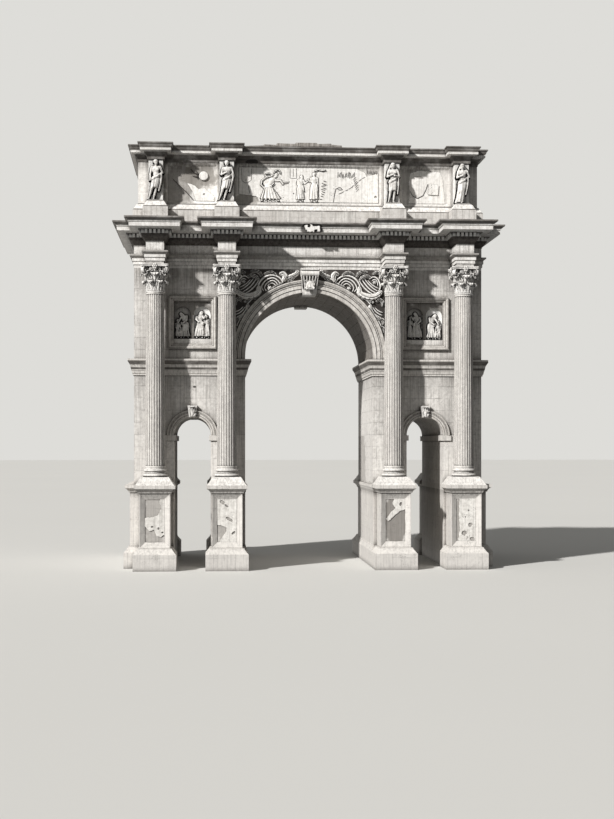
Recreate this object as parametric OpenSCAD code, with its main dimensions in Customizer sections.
// Free-standing triumphal arch of stone: a tall middle passage between two low side passages,
// four fluted Corinthian columns on pedestals before each long face, a full entablature that
// breaks forward over every column, and an attic with a statue over every column.
// Millimetres. X runs along the front, -Y is the front, Z is up, the ground is Z = 0.

/* [Body] */
// Half of the width of the wall along the front
body_half_width = 6800; // [6700:50:7200]
// Half of the depth of the wall from front to rear
body_half_depth = 2640; // [2400:20:3200]
// Distance of the inner column axes from the middle
inner_column_x = 3220; // [3180:20:3260]
// Distance of the outer column axes from the middle
outer_column_x = 5950; // [5900:10:5970]
// Distance of every column axis from the face of the wall
column_stand = 800; // [760:20:860]

/* [Main passage] */
// Half of the width of the main passage, also the radius of its vault
main_half = 2500; // [2400:20:2520]
// Height of the centre of the main vault
main_spring = 8200; // [7800:10:8800]
// Height of the straight foot of the vault, over the impost course
vault_foot = 105; // [65:5:205]
// Height of the impost course
impost_height = 635; // [600:5:700]
// Projection of the impost course from the wall
impost_reach = 235; // [150:5:280]
// Width of the ring of voussoirs, seen from the front
main_ring = 500; // [420:10:520]
// Projection of the main archivolt from the wall
main_ring_reach = 165; // [100:5:180]

/* [Side passages] */
// Distance of the axis of a side passage from the middle
side_x = 4550; // [4530:5:4600]
// Half of the width of a side passage, also the radius of its vault
side_half = 715; // [660:5:740]
// Height of the centre of the side vaults
side_spring = 5140; // [4900:10:5400]
// Width of the ring round a side arch
side_ring = 260; // [200:10:280]
// Projection of the ring round a side arch
side_ring_reach = 110; // [60:5:130]

/* [Pedestals] */
// Height of the pedestals and of the dado course
podium_top = 3220; // [3000:10:3400]
// Half of the width of a pedestal die
die_half = 585; // [540:5:620]
// Distance from the wall to the front of a pedestal die
die_stand = 1385; // [1340:5:1440]
// Projection of the dado course from the wall
dado_step = 150; // [100:10:200]
// Projection of the plinth from the die
podium_plinth_reach = 230; // [180:5:240]
// Projection of the cap from the die
podium_cap_reach = 190; // [150:5:200]

/* [Columns] */
// Height of the top of the column bases
shaft_bottom = 3900; // [3860:10:4100]
// Height of a capital
capital_height = 1060; // [1000:10:1150]
// Radius of a shaft at its foot
shaft_radius = 380; // [360:5:400]
// Radius at the neck of a shaft, as a share of the radius at its foot
shaft_taper = 0.87; // [0.8:0.01:0.92]
// Number of flutes on a shaft
flutes = 24; // [20:4:28]
// Half of the width of the abacus, over its corners
abacus_half = 560; // [520:10:600]

/* [Entablature] */
// Height of the wall over the crown of the main archivolt
crown_gap = 420; // [380:10:600]
// Height of the architrave
architrave_height = 510; // [460:10:580]
// Height of the frieze
frieze_height = 375; // [330:5:430]
// Height of the cornice with its bed mouldings and dentils
cornice_height = 825; // [780:5:900]
// Projection of the main cornice from the frieze
cornice_reach = 785; // [650:5:810]
// Half of the width of the entablature over one column
break_half = 335; // [325:5:360]
// Distance from the wall to the entablature over a column
break_stand = 1150; // [1100:10:1200]
// Distance from one dentil to the next
dentil_pitch = 160; // [150:5:240]

/* [Attic] */
// Half of the width of the attic wall
attic_half_width = 6650; // [6500:10:6700]
// Half of the depth of the attic wall
attic_half_depth = 2540; // [2300:20:2600]
// Height of the attic plinth
attic_plinth_height = 820; // [700:10:900]
// Height of the attic wall over its plinth
attic_wall_height = 1600; // [1580:10:1800]
// Height of the attic cornice
attic_cornice_height = 600; // [560:10:680]
// Projection of the attic cornice
attic_cornice_reach = 370; // [250:5:400]
// Half of the width of an attic pier
attic_pier_half = 275; // [250:5:300]
// Distance from the attic wall to the face of an attic pier
attic_pier_stand = 500; // [400:10:560]

/* [Sculpture] */
// Height of the statues on the attic
statue_height = 1560; // [1300:10:1580]
// Height of the figures in the niches
niche_figure_height = 1170; // [1000:10:1200]

/* [Hidden] */
impost_top = main_spring - vault_foot;
impost_bottom = impost_top - impost_height;
architrave_bottom = main_spring + main_half + main_ring + crown_gap;
frieze_bottom = architrave_bottom + architrave_height;
bed_bottom = frieze_bottom + frieze_height;
cornice_top = bed_bottom + cornice_height;
attic_plinth_top = cornice_top + attic_plinth_height;
attic_cornice_bottom = attic_plinth_top + attic_wall_height;
attic_top = attic_cornice_bottom + attic_cornice_height;
shaft_top = architrave_bottom - capital_height;
column_xs = [-outer_column_x, -inner_column_x, inner_column_x, outer_column_x];
sides = [-1, 1];
column_y = body_half_depth + column_stand;
main_outer = main_half + main_ring;
passage_in = side_x - side_half;
passage_out = side_x + side_half;
deep = 2 * (body_half_depth + column_stand + die_stand);
joint = 0.01;

podium_die_bottom = 850;
podium_profile = [
  [podium_plinth_reach, 0], [podium_plinth_reach, 620], [podium_plinth_reach - 25, 635],
  [75, 800], [70, 835], [0, podium_die_bottom], [0, podium_top - 295], [45, podium_top - 290],
  [60, podium_top - 235], [130, podium_top - 150], [podium_cap_reach - 10, podium_top - 130],
  [podium_cap_reach, podium_top - 120], [podium_cap_reach, podium_top]
];

impost_profile = [
  [0, impost_bottom], [45, impost_bottom], [45, impost_bottom + 60],
  [70, impost_bottom + 75], [90, impost_bottom + 190], [105, impost_bottom + 190],
  [105, impost_bottom + 235], [120, impost_bottom + 260], [0.6 * impost_reach, impost_bottom + 380],
  [0.94 * impost_reach, impost_top - 120], [impost_reach, impost_top - 100],
  [impost_reach, impost_top]
];

architrave_profile = [
  [0, architrave_bottom], [0, architrave_bottom + 125], [35, architrave_bottom + 125],
  [35, architrave_bottom + 260], [70, architrave_bottom + 260], [70, frieze_bottom - 125],
  [85, frieze_bottom - 115], [130, frieze_bottom - 65], [165, frieze_bottom - 55],
  [165, frieze_bottom]
];

bed_height = 265;
bed_profile = [
  [25, bed_bottom], [30, bed_bottom + 40], [60, bed_bottom + 70], [140, bed_bottom + 165],
  [150, bed_bottom + 215], [180, bed_bottom + 215], [180, bed_bottom + bed_height]
];

dentil_bottom = bed_bottom + bed_height;
dentil_top = dentil_bottom + 140;
dentil_back = 175;
dentil_depth = 95;

cornice_profile = [
  [285, dentil_top], [295, dentil_top + 15], [330, dentil_top + 50], [350, dentil_top + 60],
  [0.79 * cornice_reach, dentil_top + 65], [0.79 * cornice_reach, cornice_top - 205],
  [0.83 * cornice_reach, cornice_top - 190], [0.84 * cornice_reach, cornice_top - 110],
  [0.92 * cornice_reach, cornice_top - 65], [cornice_reach, cornice_top - 55],
  [cornice_reach, cornice_top]
];

attic_plinth_profile = [
  [200, cornice_top], [200, attic_plinth_top - 290], [180, attic_plinth_top - 265],
  [45, attic_plinth_top - 40], [0, attic_plinth_top - 30], [0, attic_plinth_top]
];

attic_cornice_profile = [
  [0, attic_cornice_bottom], [25, attic_cornice_bottom], [30, attic_cornice_bottom + 150],
  [60, attic_cornice_bottom + 180], [130, attic_cornice_bottom + 260],
  [150, attic_cornice_bottom + 300], [0.76 * attic_cornice_reach, attic_cornice_bottom + 310],
  [0.76 * attic_cornice_reach, attic_top - 170], [0.82 * attic_cornice_reach, attic_top - 155],
  [0.9 * attic_cornice_reach, attic_top - 70], [attic_cornice_reach, attic_top - 45],
  [attic_cornice_reach, attic_top]
];

// Plan of the front half of a course at projection p, from its left corner to its right one,
// with a break forward of half width w to distance b at each column
function front_plan(hx, hy, w, b, p) = concat(
  [[-hx - p, -hy - p]],
  [for (c = column_xs) each [
    [c - w - p, -hy - p], [c - w - p, -b - p], [c + w + p, -b - p], [c + w + p, -hy - p]
  ]],
  [[hx + p, -hy - p]]
);

// The whole plan, the rear being the front turned by half a turn
function broken_plan(hx, hy, w, b, p) =
  let (f = front_plan(hx, hy, w, b, p)) concat(f, -f);

// A solid swept from a list of outlines with equal counts, one at each height. The caps are
// given as the corner numbers of the flat pieces that fill the outline.
module stack(outlines, heights, caps) {
  n = len(outlines[0]);
  m = len(outlines);
  points = [for (i = [0 : m - 1]) for (q = outlines[i]) [q[0], q[1], heights[i]]];
  walls = [for (i = [0 : m - 2]) for (j = [0 : n - 1])
    [i * n + j, (i + 1) * n + j, (i + 1) * n + (j + 1) % n, i * n + (j + 1) % n]];
  top = [for (f = caps) [for (j = [len(f) - 1 : -1 : 0]) (m - 1) * n + f[j]]];
  polyhedron(points, concat(caps, top, walls));
}

// Corner numbers of the cap pieces of a broken plan: one for each break, and strips between
// the front line of the wall and its rear line
function broken_caps() =
  let (
    half = 4 * len(column_xs) + 2,
    line = concat([0], [for (i = [0 : len(column_xs) - 1]) each [4 * i + 1, 4 * i + 4]], [half - 1])
  )
  concat(
    [for (e = [0, half]) for (i = [0 : len(column_xs) - 1]) [for (k = [1 : 4]) e + 4 * i + k]],
    [for (i = [0 : len(line) - 2])
      [line[i], line[i + 1], 2 * half - 1 - line[i + 1], 2 * half - 1 - line[i]]]
  );

module broken_course(profile, hx, hy, w, b) {
  stack([for (q = profile) broken_plan(hx, hy, w, b, q[0])], [for (q = profile) q[1]],
    broken_caps());
}

// The same over the rectangle from x0 to x1 and y0 to y1, where e0 and e1 say how much of the
// projection the two ends in x take, and f0 and f1 the same in y
module plain_course(profile, x0, x1, e0, e1, y0, y1, f0, f1) {
  stack([for (q = profile) let (p = q[0]) [
    [x0 - e0 * p, y0 - f0 * p], [x1 + e1 * p, y0 - f0 * p],
    [x1 + e1 * p, y1 + f1 * p], [x0 - e0 * p, y1 + f1 * p]
  ]], [for (q = profile) q[1]], [[0, 1, 2, 3]]);
}

// Block with four splayed sides, to be cut into a face at Y = 0 that looks to -Y: half width hw
// and heights z0 to z1 at the face, less by inset all round at the depth deep
module splay(hw, z0, z1, inset, deep) {
  polyhedron(
    [for (q = [[0, -1], [inset, deep]]) each [
      [q[0] - hw, q[1], z0 + q[0]], [hw - q[0], q[1], z0 + q[0]],
      [hw - q[0], q[1], z1 - q[0]], [q[0] - hw, q[1], z1 - q[0]]
    ]],
    [[0, 3, 2, 1], [4, 5, 6, 7], [0, 1, 5, 4], [1, 2, 6, 5], [2, 3, 7, 6], [3, 0, 4, 7]]
  );
}

module rear() {
  rotate([0, 0, 180]) children();
}

module at_columns() {
  for (c = column_xs) translate([c, -column_y, 0]) children();
}

module stone() {
  color([0.82, 0.79, 0.72]) children();
}

module carved() {
  color([0.87, 0.84, 0.78]) children();
}

// Podiums: plinth, dado and cap run round the wall and break forward as the pedestals
panel_margin = 25;
panel_splay = 190;
panel_deep = 95;

module die_panel(c) {
  low = podium_die_bottom + panel_margin;
  high = podium_top - 295 - panel_margin;
  field = panel_splay + 25;
  for (s = [0, 1]) rotate([0, 0, 180 * s])
    translate([s == 0 ? c : -c, -body_half_depth - die_stand, 0]) {
      splay(die_half - panel_margin, low, high, panel_splay, panel_deep);
      translate([field - die_half, 0, low + panel_splay + 15])
        cube([2 * (die_half - field), panel_deep + 25, high - low - 2 * panel_splay - 30]);
    }
}

module podium(x0, x1, e0, e1, c) {
  dado_y = body_half_depth + dado_step;
  stone() difference() {
    union() {
      plain_course(podium_profile, x0 - e0 * dado_step, x1, e0, e1, -dado_y, dado_y, 1, 1);
      for (t = [0, 180]) translate([c, 0, 0]) rotate([0, 0, t])
        plain_course(podium_profile, -die_half, die_half, 1, 1,
          -body_half_depth - die_stand, -dado_y + 20, 1, 0);
    }
    die_panel(c);
  }
}

module podium_outer_left() {
  podium(-body_half_width, -passage_out, 1, 0, -outer_column_x);
}

module podium_inner_left() {
  podium(-passage_in, -main_half, 0, 0.4, -inner_column_x);
}

module podium_inner_right() {
  mirror([1, 0, 0]) podium_inner_left();
}

module podium_outer_right() {
  mirror([1, 0, 0]) podium_outer_left();
}

// Piers between the podiums and the springing of the side vaults
impost_block_height = 210;
impost_block_run = 330;
impost_block_reach = 70;

module impost_block(edge, s) {
  lo = min(edge - s * impost_block_reach, edge + s * impost_block_run);
  hy = body_half_depth + impost_block_reach;
  translate([lo, -hy, side_spring - impost_block_height])
    cube([impost_block_reach + impost_block_run, 2 * hy, impost_block_height]);
}

module pier_outer_left() {
  stone() difference() {
    translate([-body_half_width, -body_half_depth, podium_top])
      cube([body_half_width - passage_out, 2 * body_half_depth, side_spring - podium_top]);
    impost_block(-passage_out, -1);
  }
}

module pier_inner_left() {
  stone() difference() {
    translate([-passage_in, -body_half_depth, podium_top])
      cube([passage_in - main_half, 2 * body_half_depth, side_spring - podium_top]);
    impost_block(-passage_in, 1);
  }
}

module pier_inner_right() {
  mirror([1, 0, 0]) pier_inner_left();
}

module pier_outer_right() {
  mirror([1, 0, 0]) pier_outer_left();
}

module side_imposts() {
  carved() for (s = sides) {
    impost_block(s * passage_in, -s);
    impost_block(s * passage_out, s);
  }
}

// Walls over the side passages, with the side vaults in them
module wing_wall(s) {
  mid = s * (body_half_width + main_half) / 2;
  wide = body_half_width - main_half;
  stone() difference() {
    translate([mid - wide / 2, -body_half_depth, side_spring])
      cube([wide, 2 * body_half_depth, impost_bottom - side_spring]);
    translate([s * side_x, 0, side_spring])
      rotate([90, 0, 0]) cylinder(r = side_half, h = deep, center = true, $fn = 64);
  }
}

module wing_wall_left() {
  wing_wall(-1);
}

module wing_wall_right() {
  wing_wall(1);
}

module impost_course(x0, x1) {
  carved() plain_course(impost_profile, x0, x1, 1, 1, -body_half_depth, body_half_depth, 1, 1);
}

module impost_course_left() {
  impost_course(-body_half_width, -main_half);
}

module impost_course_right() {
  impost_course(main_half, body_half_width);
}

// Wall round the main vault. Each wing has a sunk panel before and behind, with a sill along
// its foot and two shallow arched niches in it
niche_half = 325;
niche_gap = 110;
niche_height = 1270;
niche_deep = 200;
niche_sill = 180;
opening_half = 2 * niche_half + niche_gap / 2 + 15;
opening_bottom = impost_top + 605;
opening_deep = 90;
niche_floor = opening_bottom + niche_sill;
opening_top = niche_floor + niche_height + 200;

module niche_cut() {
  spring = niche_floor + niche_height - niche_half;
  translate([-niche_half, -niche_deep, niche_floor])
    cube([2 * niche_half, 2 * niche_deep, spring - niche_floor]);
  translate([0, niche_deep, spring])
    rotate([90, 0, 0]) cylinder(r = niche_half, h = 2 * niche_deep, $fn = 48);
}

module opening_cut() {
  for (s = sides)
    translate([s * side_x - opening_half, -body_half_depth - opening_deep, niche_floor])
      cube([2 * opening_half, 2 * opening_deep, opening_top - niche_floor]);
}

module at_niches() {
  for (s = sides) for (t = sides)
    translate([s * side_x + t * (niche_half + niche_gap / 2), -body_half_depth, 0]) children();
}

module upper_wall() {
  stone() difference() {
    translate([-body_half_width, -body_half_depth, impost_top])
      cube([2 * body_half_width, 2 * body_half_depth, architrave_bottom - impost_top]);
    translate([0, deep / 2, impost_top]) rotate([90, 0, 0]) linear_extrude(deep)
      polygon(horseshoe_hole(main_outer, main_spring - impost_top));
    at_niches() niche_cut();
    rear() at_niches() niche_cut();
    opening_cut();
    rear() opening_cut();
    at_main_keystone() main_keystone_bed();
    rear() at_main_keystone() main_keystone_bed();
  }
}

// Half ring between two radii with straight feet, standing on its feet at height 0
function horseshoe(r0, r1, foot) = concat(
  [[r1, 0]], [for (a = [0 : 3.75 : 180]) [r1 * cos(a), foot + r1 * sin(a)]], [[-r1, 0], [-r0, 0]],
  [for (a = [180 : -3.75 : 0]) [r0 * cos(a), foot + r0 * sin(a)]], [[r0, 0]]
);

// The hole that such a ring fills and spans, cut down past its feet
function horseshoe_hole(r, foot) = concat(
  [[r, -100]], [for (a = [0 : 3.75 : 180]) [r * cos(a), foot + r * sin(a)]], [[-r, -100]]
);

// The same ring with no feet
function half_ring(r0, r1) = concat(
  [for (a = [0 : 3.75 : 180]) r1 * [cos(a), sin(a)]],
  [for (a = [180 : -3.75 : 0]) r0 * [cos(a), sin(a)]]
);

module main_vault() {
  stone() difference() {
    translate([0, body_half_depth, impost_top]) rotate([90, 0, 0])
      linear_extrude(2 * body_half_depth)
      polygon(horseshoe(main_half, main_outer, main_spring - impost_top));
    at_main_keystone() main_keystone_bed();
    rear() at_main_keystone() main_keystone_bed();
  }
}

// Flat rings of an archivolt: inner and outer edge as shares of the ring's width, and depth
// as a share of the ring's projection. A groove is left between one ring and the next.
archivolt_rings = [
  [0, 1, 0.35], [0.03, 0.27, 0.5], [0.33, 0.58, 0.62], [0.63, 0.69, 0.75], [0.74, 1, 0.72],
  [0.81, 1, 0.88], [0.9, 1, 1]
];

module archivolt(r, w, d, foot) {
  for (q = archivolt_rings) {
    lo = r + q[0] * w;
    hi = r + q[1] * w;
    rotate([90, 0, 0]) linear_extrude(d * q[2])
      polygon(foot > 0 ? horseshoe(lo, hi, foot) : half_ring(lo, hi));
  }
}

module main_archivolt_front() {
  carved() difference() {
    translate([0, -body_half_depth, impost_top])
      archivolt(main_half, main_ring, main_ring_reach, main_spring - impost_top);
    at_main_keystone() main_keystone_bed();
  }
}

module main_archivolt_rear() {
  rear() main_archivolt_front();
}

module side_archivolts_front() {
  carved() for (s = sides) difference() {
    translate([s * side_x, -body_half_depth, side_spring])
      archivolt(side_half, side_ring, side_ring_reach, 0);
    translate([s * side_x, 0, 0]) side_keystone_bed();
  }
}

module side_archivolts_rear() {
  rear() side_archivolts_front();
}

// Keystones: a console with a scroll at its head over the main arch, a wedge over each side arch
key_bottom = main_spring + main_half - 110;
key_top = architrave_bottom;
key_low_half = 255;
key_high_half = 350;
key_bed_deep = 500;
key_head_reach = 430;
key_foot_reach = 190;

module at_main_keystone() {
  translate([0, -body_half_depth, 0]) children();
}

module wedge(z0, z1, w0, w1, y0, y1) {
  translate([0, y1, 0]) rotate([90, 0, 0]) linear_extrude(y1 - y0)
    polygon([[-w0, z0], [w0, z0], [w1, z1], [-w1, z1]]);
}

module main_keystone_bed() {
  wedge(key_bottom, key_top, key_low_half, key_high_half, -key_head_reach, key_bed_deep);
}

module main_keystone() {
  intersection() {
    main_keystone_bed();
    rotate([90, 0, 90]) linear_extrude(2 * key_high_half, center = true) polygon([
      [key_bed_deep, key_bottom], [-key_foot_reach, key_bottom],
      [-key_foot_reach - 25, key_bottom + 60], [-key_foot_reach - 10, key_bottom + 160],
      [-key_foot_reach + 10, key_bottom + 300], [-key_head_reach + 150, key_top - 420],
      [-key_head_reach + 40, key_top - 300], [-key_head_reach, key_top - 190],
      [-key_head_reach + 20, key_top - 110], [-key_head_reach + 70, key_top - 80],
      [-key_head_reach, key_top - 70], [-key_head_reach, key_top], [key_bed_deep, key_top]
    ]);
  }
}

module main_keystones() {
  carved() {
    at_main_keystone() main_keystone();
    rear() at_main_keystone() main_keystone();
  }
}

side_key_bottom = side_spring + side_half - 15;
side_key_top = side_spring + side_half + side_ring + 175;
side_key_reach = 180;

module side_keystone_bed() {
  translate([0, -body_half_depth, 0])
    wedge(side_key_bottom, side_key_top, 130, 185, -side_key_reach, 0);
}

module side_keystones() {
  carved() for (s = sides) translate([s * side_x, 0, 0]) {
    side_keystone_bed();
    rear() side_keystone_bed();
  }
}

// Moulded frames round each pair of niches
frame_band = 205;
frame_half = opening_half + frame_band;
frame_bottom = opening_bottom - frame_band;
frame_top = opening_top + frame_band;
frame_fillet = 40;
frame_reach = 130;

module niche_frame() {
  difference() {
    translate([-frame_half, -frame_reach, frame_bottom])
      cube([2 * frame_half, frame_reach, frame_top - frame_bottom]);
    translate([0, -frame_reach, 0]) splay(frame_half - frame_fillet, frame_bottom + frame_fillet,
      frame_top - frame_fillet, frame_band - frame_fillet, frame_reach - 25);
    translate([frame_band - frame_half, -frame_reach, frame_bottom + frame_band])
      cube([2 * (frame_half - frame_band), frame_reach + 10,
        frame_top - frame_bottom - 2 * frame_band]);
  }
}

module niche_frames_front() {
  carved() for (s = sides) translate([s * side_x, -body_half_depth, 0]) niche_frame();
}

module niche_frames_rear() {
  rear() niche_frames_front();
}

// Tapering round piece from a to b
module limb(a, b, r0, r1) {
  d = b - a;
  translate(a) rotate([0, acos(d[2] / norm(d)), atan2(d[1], d[0])])
    cylinder(h = norm(d), r1 = r0, r2 = r1, $fn = 20);
}

// Standing draped figure of height h, its feet at the origin: foot block, robe, mantle rolled
// round the hips, arms bent at the elbow, neck and head
module figure(h) {
  u = h / 8;
  elbows = [[-1.2, -0.25, 5.1] * u, [1.2, -0.3, 5.2] * u];
  hands = [[-0.25, -0.85, 5.45] * u, [0.85, -0.8, 6.1] * u];
  shoulders = [[-0.75, 0, 6.35] * u, [0.75, 0, 6.4] * u];
  rotate_extrude($fn = 32) polygon([
    [0, 0], [1.12 * u, 0], [1.1 * u, 0.2 * u], [0.98 * u, 0.35 * u], [0.78 * u, 2 * u],
    [0.84 * u, 3.3 * u], [0.92 * u, 4.1 * u], [0.94 * u, 4.3 * u], [0.72 * u, 4.5 * u],
    [0.66 * u, 5 * u], [0.82 * u, 5.7 * u], [0.88 * u, 6.2 * u], [0.7 * u, 6.55 * u],
    [0.3 * u, 6.75 * u], [0.24 * u, 7.1 * u], [0, 7.1 * u]
  ]);
  translate([0, 0, 7.48 * u]) sphere(r = 0.5 * u, $fn = 24);
  limb([-0.62, -0.62, 4.05] * u, [0.9, -0.3, 4.9] * u, 0.24 * u, 0.2 * u);
  limb([1.02, 0.05, 5.2] * u, [1, 0.05, 1.6] * u, 0.2 * u, 0.26 * u);
  for (k = [0, 1]) {
    limb(shoulders[k], elbows[k], 0.27 * u, 0.2 * u);
    translate(elbows[k]) sphere(r = 0.23 * u, $fn = 16);
    limb(elbows[k], hands[k], 0.19 * u, 0.15 * u);
  }
}

// The figures in the niches are in high relief, so they are less deep than round ones
relief_depth = 0.55;

module niche_figures_front() {
  carved() at_niches()
    translate([0, niche_deep - 10 - relief_depth * niche_figure_height / 7, niche_floor])
      scale([1, relief_depth, 1]) figure(niche_figure_height);
}

module niche_figures_rear() {
  rear() niche_figures_front();
}

// Column bases: weathered block, square plinth, two rounds with a hollow between them
base_block_height = 320;

module column_base() {
  plain_course([
    [750, podium_top], [740, podium_top + 20], [670, podium_top + 100], [670, podium_top + 110],
    [530, podium_top + base_block_height]
  ], 0, 0, 1, 1, 0, 0, 1, 1);
  low = podium_top + base_block_height - joint;
  translate([0, 0, low]) rotate_extrude($fn = 48) polygon(concat(
    [[0, 0]],
    [for (a = [-90 : 30 : 90]) [415 + 62 * cos(a), 62 + 62 * sin(a)]],
    [[405, 124], [405, 138], [378, 155], [374, 190], [398, 212]],
    [for (a = [-90 : 30 : 90]) [392 + 45 * cos(a), 257 + 45 * sin(a)]],
    [[392, 302], [392, 315], [shaft_radius, shaft_bottom - low], [0, shaft_bottom - low]]
  ));
}

module column_bases_front() {
  carved() at_columns() column_base();
}

module column_bases_rear() {
  rear() column_bases_front();
}

// Fluted shafts: straight for the lower third, then tapering, with a plain collar at each end
flute_shape = [[-0.37, 1], [-0.23, 0.93], [0.23, 0.93], [0.37, 1]];
function fluted_plan(r) = [for (k = [0 : flutes - 1]) for (q = flute_shape)
  let (a = 360 / flutes * (k + q[0])) r * q[1] * [cos(a), sin(a)]];

shaft_third = (shaft_top - shaft_bottom) / 3;

module shaft() {
  translate([0, 0, shaft_bottom]) {
    cylinder(r = 1.04 * shaft_radius, h = 60, $fn = 48);
    linear_extrude(shaft_third) polygon(fluted_plan(shaft_radius));
    translate([0, 0, shaft_third - joint])
      linear_extrude(2 * shaft_third + joint, scale = shaft_taper) polygon(fluted_plan(shaft_radius));
  }
  translate([0, 0, shaft_top - 60])
    cylinder(r = 1.06 * shaft_radius * shaft_taper, h = 60, $fn = 48);
}

module column_shafts_front() {
  carved() at_columns() shaft();
}

module column_shafts_rear() {
  rear() column_shafts_front();
}

// Corinthian capital: bell, two rows of eight curling leaves, corner scrolls, hollow-sided abacus
bell_radius = 300;
abacus_height = 130;

// One leaf: its curled side profile kept within its pointed front outline
module leaf(h, w, foot, curl) {
  intersection() {
    rotate([90, 0, 0]) linear_extrude(w, center = true) polygon([
      [foot - 40, 0], [foot + 45, 0], [foot + 55, 0.55 * h], [foot + 75, 0.78 * h],
      [foot + curl, 0.86 * h], [foot + curl + 15, 0.93 * h], [foot + curl - 15, h],
      [foot + 60, 0.99 * h], [foot + 15, 0.88 * h], [foot - 10, 0.6 * h], [foot - 40, 0.5 * h]
    ]);
    rotate([90, 0, 90]) linear_extrude(2 * bell_radius + 600) polygon([
      [-0.42 * w, 0], [0.42 * w, 0], [0.5 * w, 0.35 * h], [0.4 * w, 0.62 * h],
      [0.3 * w, 0.9 * h], [0.12 * w, h], [-0.12 * w, h], [-0.3 * w, 0.9 * h],
      [-0.4 * w, 0.62 * h], [-0.5 * w, 0.35 * h]
    ]);
  }
}

module corner_scroll() {
  translate([0.86 * abacus_half * sqrt(2) - 130, 0, capital_height - abacus_height - 110])
    rotate([90, 0, 0]) cylinder(r = 110, h = 110, center = true, $fn = 24);
  rotate([90, 0, 0]) linear_extrude(80, center = true) polygon([
    [bell_radius - 20, 0.52 * capital_height], [bell_radius + 60, 0.56 * capital_height],
    [bell_radius + 190, capital_height - abacus_height - 210],
    [bell_radius + 290, capital_height - abacus_height - 60],
    [bell_radius + 20, capital_height - abacus_height - 20]
  ]);
}

module abacus() {
  hollow = 1500;
  difference() {
    translate([-abacus_half, -abacus_half, capital_height - abacus_height])
      cube([2 * abacus_half, 2 * abacus_half, abacus_height]);
    for (a = [0 : 90 : 270]) rotate([0, 0, a])
      translate([abacus_half + hollow - 90, 0, capital_height - abacus_height - 10])
        cylinder(r = hollow, h = abacus_height + 20, $fn = 128);
  }
}

module capital() {
  translate([0, 0, shaft_top]) {
    rotate_extrude($fn = 48) polygon([
      [0, 0], [350, 0], [368, 20], [350, 45], [bell_radius, 50],
      [bell_radius, 0.6 * capital_height], [bell_radius + 40, capital_height - abacus_height - 90],
      [bell_radius + 120, capital_height - abacus_height - 20],
      [bell_radius + 120, capital_height - abacus_height + joint],
      [0, capital_height - abacus_height + joint]
    ]);
    for (k = [0 : 7]) {
      rotate([0, 0, 45 * k + 22.5]) translate([0, 0, 45]) leaf(360, 190, bell_radius, 130);
      rotate([0, 0, 45 * k]) translate([0, 0, 45]) leaf(620, 180, bell_radius - 10, 165);
    }
    for (a = [45 : 90 : 315]) rotate([0, 0, a]) corner_scroll();
    abacus();
  }
}

module capitals_front() {
  carved() at_columns() capital();
}

module capitals_rear() {
  rear() capitals_front();
}

// Entablature, in courses laid on one another
wall_x = body_half_width;
wall_y = body_half_depth;
break_y = body_half_depth + break_stand;

module architrave() {
  carved() broken_course(architrave_profile, wall_x, wall_y, break_half, break_y);
}

module frieze() {
  stone() translate([0, 0, frieze_bottom]) linear_extrude(bed_bottom - frieze_bottom)
    polygon(broken_plan(wall_x, wall_y, break_half, break_y, 5));
}

module bed_moulding() {
  carved() broken_course(bed_profile, wall_x, wall_y, break_half, break_y);
}

// Corners of the teeth that fit on the edge from a to b, standing out to its right
function teeth(a, b) =
  let (
    run = norm(b - a),
    u = (b - a) / run,
    n = [u[1], -u[0]],
    wide = 0.6 * dentil_pitch,
    count = max(0, floor((run - 2 * dentil_depth - wide - 20) / dentil_pitch) + 1),
    start = (run - (count - 1) * dentil_pitch - wide) / 2
  )
  concat([a], count < 1 ? [] : [for (i = [0 : count - 1]) let (s = start + i * dentil_pitch) each [
    a + u * s, a + u * s + n * dentil_depth,
    a + u * (s + wide) + n * dentil_depth, a + u * (s + wide)
  ]]);

module dentil_course() {
  outline = broken_plan(wall_x, wall_y, break_half, break_y, dentil_back);
  count = len(outline);
  carved() translate([0, 0, dentil_bottom]) linear_extrude(dentil_top - dentil_bottom)
    polygon([for (i = [0 : count - 1]) each teeth(outline[i], outline[(i + 1) % count])]);
}

module cornice() {
  carved() broken_course(cornice_profile, wall_x, wall_y, break_half, break_y);
}

// Attic
ledge = 300;

module attic_plinth() {
  stone() broken_course(attic_plinth_profile, attic_half_width, attic_half_depth,
    attic_pier_half, attic_half_depth + attic_pier_stand + ledge);
}

attic_splay = 90;

module attic_wall() {
  inner_panel = inner_column_x - attic_pier_half - 120;
  side_panel = (outer_column_x - inner_column_x) / 2 - attic_pier_half - 90;
  side_mid = (outer_column_x + inner_column_x) / 2;
  low = attic_plinth_top + 30;
  high = attic_cornice_bottom - 60;
  stone() difference() {
    translate([-attic_half_width, -attic_half_depth, attic_plinth_top])
      cube([2 * attic_half_width, 2 * attic_half_depth, attic_cornice_bottom - attic_plinth_top]);
    for (t = [0, 180]) rotate([0, 0, t]) translate([0, -attic_half_depth, 0]) {
      splay(inner_panel, low, high, attic_splay, 60);
      for (s = sides) translate([s * side_mid, 0, 0]) splay(side_panel, low, high, attic_splay, 60);
    }
  }
}

module attic_piers_front() {
  stone() for (c = column_xs)
    translate([c - attic_pier_half, -attic_half_depth - attic_pier_stand, attic_plinth_top])
      cube([2 * attic_pier_half, attic_pier_stand, attic_cornice_bottom - attic_plinth_top]);
}

module attic_piers_rear() {
  rear() attic_piers_front();
}

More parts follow.
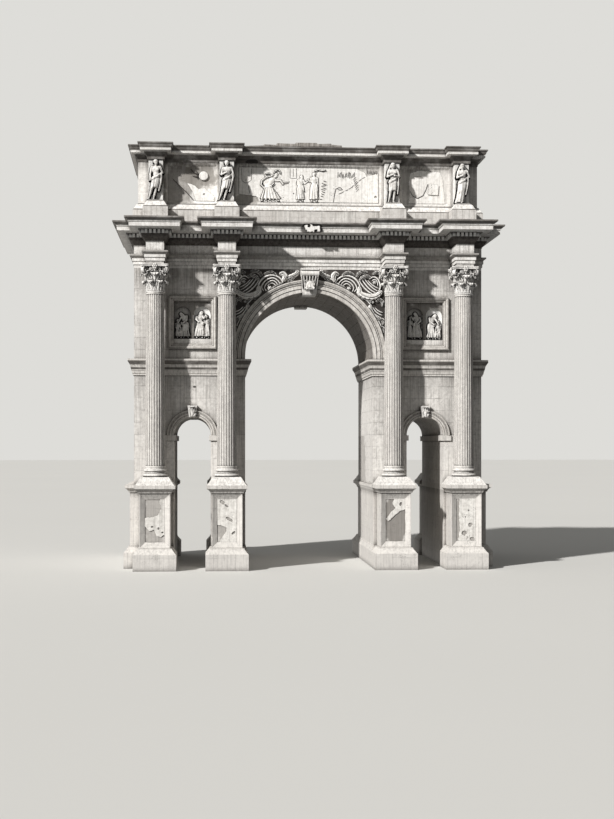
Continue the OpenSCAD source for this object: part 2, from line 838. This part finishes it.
module attic_cornice() {
  carved() broken_course(attic_cornice_profile, attic_half_width, attic_half_depth,
    attic_pier_half + 35, attic_half_depth + attic_pier_stand + 35);
}

roof_height = 70;

module attic_roof() {
  stone() plain_course([[-550, attic_top], [-1600, attic_top + roof_height]],
    -attic_half_width, attic_half_width, 1, 1, -attic_half_depth, attic_half_depth, 1, 1);
}

// What is left of the low course along the front edge of the roof, its top broken. Each pair
// is a share of the half width of the attic and a share of the course's height.
blocking_height = 250;
blocking_deep = 400;
blocking_set_back = 450;
blocking_line = [
  [-0.358, 0], [0.2, 0], [0.195, 0.64], [0.135, 0.76], [0.13, 0.92], [0.053, 0.84],
  [0.045, 1], [-0.075, 1], [-0.084, 0.8], [-0.188, 0.88], [-0.195, 0.6], [-0.263, 0.68],
  [-0.27, 0.48], [-0.353, 0.4]
];

module blocking_course() {
  stone() translate([0, blocking_set_back - attic_half_depth, attic_top])
    rotate([90, 0, 0]) linear_extrude(blocking_deep)
    polygon([for (q = blocking_line) [q[0] * attic_half_width, q[1] * blocking_height]]);
}

module statues_front() {
  carved() for (c = column_xs)
    translate([c, -attic_half_depth - attic_pier_stand - 0.4 * ledge - 60, attic_plinth_top])
      figure(statue_height);
}

module statues_rear() {
  rear() statues_front();
}

podium_outer_left();
podium_inner_left();
podium_inner_right();
podium_outer_right();
pier_outer_left();
pier_inner_left();
pier_inner_right();
pier_outer_right();
side_imposts();
wing_wall_left();
wing_wall_right();
impost_course_left();
impost_course_right();
upper_wall();
main_vault();
architrave();
frieze();
bed_moulding();
dentil_course();
cornice();
attic_plinth();
attic_wall();
attic_piers_front();
attic_piers_rear();
attic_cornice();
attic_roof();
blocking_course();
column_bases_front();
column_bases_rear();
column_shafts_front();
column_shafts_rear();
capitals_front();
capitals_rear();
main_archivolt_front();
main_archivolt_rear();
side_archivolts_front();
side_archivolts_rear();
main_keystones();
side_keystones();
niche_frames_front();
niche_frames_rear();
niche_figures_front();
niche_figures_rear();
statues_front();
statues_rear();
